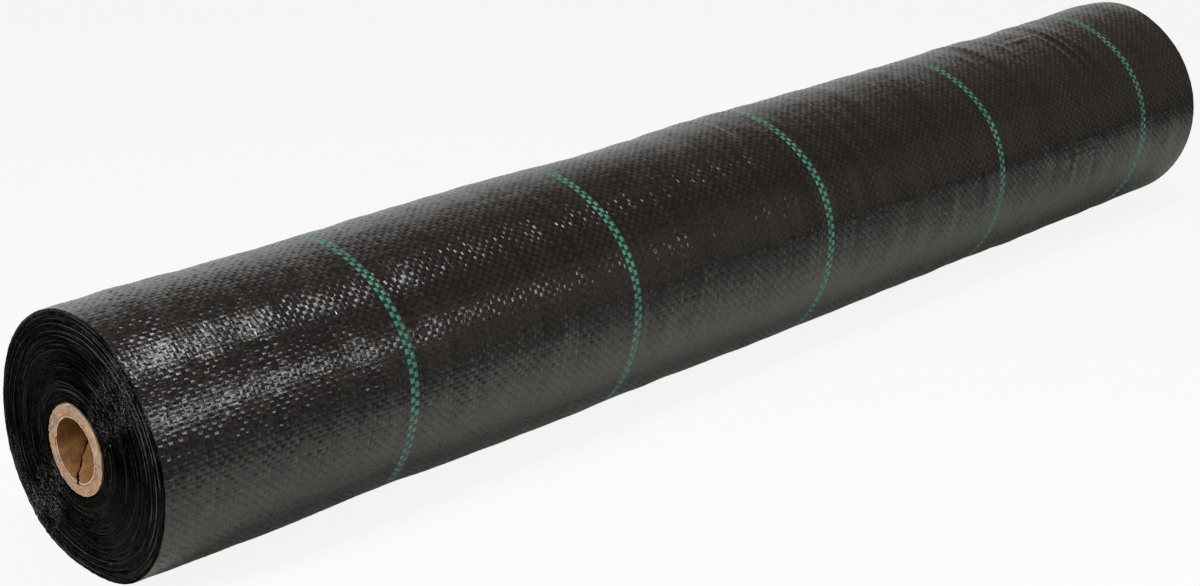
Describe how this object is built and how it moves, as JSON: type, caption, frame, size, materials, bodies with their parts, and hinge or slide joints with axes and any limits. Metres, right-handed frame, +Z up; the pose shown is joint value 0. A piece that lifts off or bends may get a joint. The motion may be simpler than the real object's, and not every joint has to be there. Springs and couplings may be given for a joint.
{
  "type": "roll of ground-cover fabric",
  "caption": "Roll of black woven ground-cover fabric with pairs of green marker tapes, wound on a spiral-wound board tube; the free end of the web lifts to unroll.",
  "frame": {"origin": "on the floor under the middle of the roll", "axes": "+X along the roll away from the pictured end, +Z up, the free end of the web on the +Y side"},
  "size_m": [1.005, 0.1581, 0.1583],
  "materials": {
    "black_web": "glossy flat plastic tapes in plain weave, dark brown-black",
    "green_marker": "glossy green plastic warp tape, woven in",
    "board": "matt tan board with ply lines on its cut end",
    "board_inner": "matt brown board with an open helical butt seam",
    "start_tape": "clear packing tape"
  },
  "bodies": {
    "roll": {"core_inner_ply": "board_inner", "core_wall_plies": "board", "core_outer_ply": "board", "start_tape": "start_tape", "web_inner_turns": "black_web", "web_outer_turn": "black_web", "marker_tape_1a_outer_turn": "green_marker", "marker_tape_1b_outer_turn": "green_marker", "marker_tape_2a_outer_turn": "green_marker", "marker_tape_2b_outer_turn": "green_marker", "marker_tape_3a_outer_turn": "green_marker", "marker_tape_3b_outer_turn": "green_marker", "marker_tape_4a_outer_turn": "green_marker", "marker_tape_4b_outer_turn": "green_marker", "marker_tape_5a_outer_turn": "green_marker", "marker_tape_5b_outer_turn": "green_marker"},
    "tail": {"web_tail": "black_web", "marker_tape_1a_tail": "green_marker", "marker_tape_1b_tail": "green_marker", "marker_tape_2a_tail": "green_marker", "marker_tape_2b_tail": "green_marker", "marker_tape_3a_tail": "green_marker", "marker_tape_3b_tail": "green_marker", "marker_tape_4a_tail": "green_marker", "marker_tape_4b_tail": "green_marker", "marker_tape_5a_tail": "green_marker", "marker_tape_5b_tail": "green_marker"}
  },
  "joints": [
    {"name": "tail_lift", "type": "hinge", "parent": "roll", "child": "tail", "pos_m": [0, 0.04023, 0.14753], "axis": [1, 0, 0], "range_deg": [0, 90]}
  ]
}
